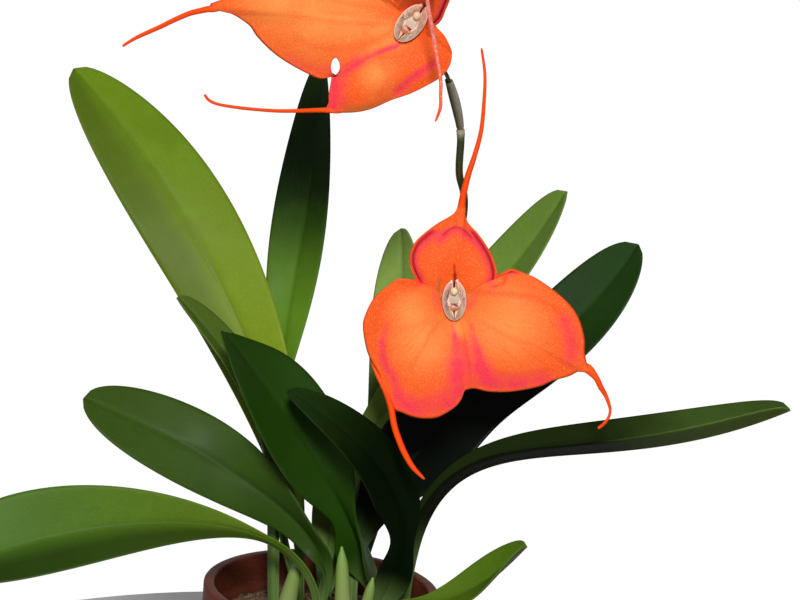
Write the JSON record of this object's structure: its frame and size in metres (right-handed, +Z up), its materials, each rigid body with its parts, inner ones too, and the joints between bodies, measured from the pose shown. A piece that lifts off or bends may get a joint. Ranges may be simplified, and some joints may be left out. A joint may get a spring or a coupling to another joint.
{
  "type": "masdevallia orchid in pot",
  "caption": "Potted orchid with strap leaves rising from a bark bed and tailed orange flowers on thin green stalks",
  "frame": {"origin": "centre of the flat underside of the pot", "axes": "+Z up; the flowers face -Y; +X is to the right seen from the front"},
  "size_m": [0.2684, 0.1478, 0.2872],
  "materials": {
    "leaf_green": "semi-gloss",
    "sheath": "satin",
    "stalk": "satin",
    "bract": "matte",
    "sepals": "satin",
    "column": "satin",
    "petals": "satin",
    "lip": "satin",
    "pot_brown": "satin",
    "bark": "matte"
  },
  "bodies": {
    "root": {"leaf_back_left": "leaf_green", "leaf_upright": "leaf_green", "leaf_inner_left": "leaf_green", "leaf_dark_left": "leaf_green", "leaf_dark_front": "leaf_green", "leaf_low_left": "leaf_green", "leaf_far_left": "leaf_green", "leaf_long_right": "leaf_green", "leaf_dark_right": "leaf_green", "leaf_back_right": "leaf_green", "leaf_back_middle": "leaf_green", "leaf_young_right": "leaf_green", "sheath_left": "sheath", "shoot_pale": "sheath", "shoot_front": "sheath", "scape_front": "stalk", "scape_upper": "stalk", "bract_upper": "bract", "calyx_front": "sepals", "column_front": "column", "petal_left_front": "petals", "petal_right_front": "petals", "lip_front": "lip", "calyx_upper": "sepals", "column_upper": "column", "petal_left_upper": "petals", "petal_right_upper": "petals", "lip_upper": "lip", "pot": "pot_brown", "medium": "bark"}
  },
  "joints": []
}
